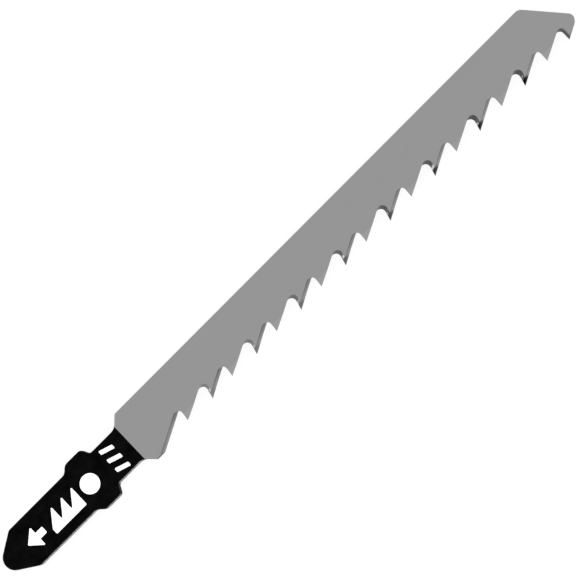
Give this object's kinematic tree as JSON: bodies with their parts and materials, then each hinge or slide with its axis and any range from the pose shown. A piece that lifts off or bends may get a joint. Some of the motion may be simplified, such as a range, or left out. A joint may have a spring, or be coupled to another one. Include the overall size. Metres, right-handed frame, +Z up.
{
  "type": "jigsaw blade",
  "caption": "Jigsaw blade for wood: a flat steel strip with a lacquered bayonet shank, a slanted front end and alternately set, bevel ground teeth.",
  "frame": {"origin": "middle of the bayonet lugs, on the centre line of the shank, on the strip's underside", "axes": "+X along the blade from the shank to the front end, +Y across the strip towards the straight back edge, with the teeth on the -Y side, +Z up through the thickness, out of the rounded side of the shank"},
  "size_m": [0.1003, 0.0079, 0.0019],
  "materials": {
    "blade_steel": "fine ground bare steel, with the shank in black lacquer up to the shoulders"
  },
  "bodies": {
    "root": {"blade": "blade_steel"}
  },
  "joints": []
}
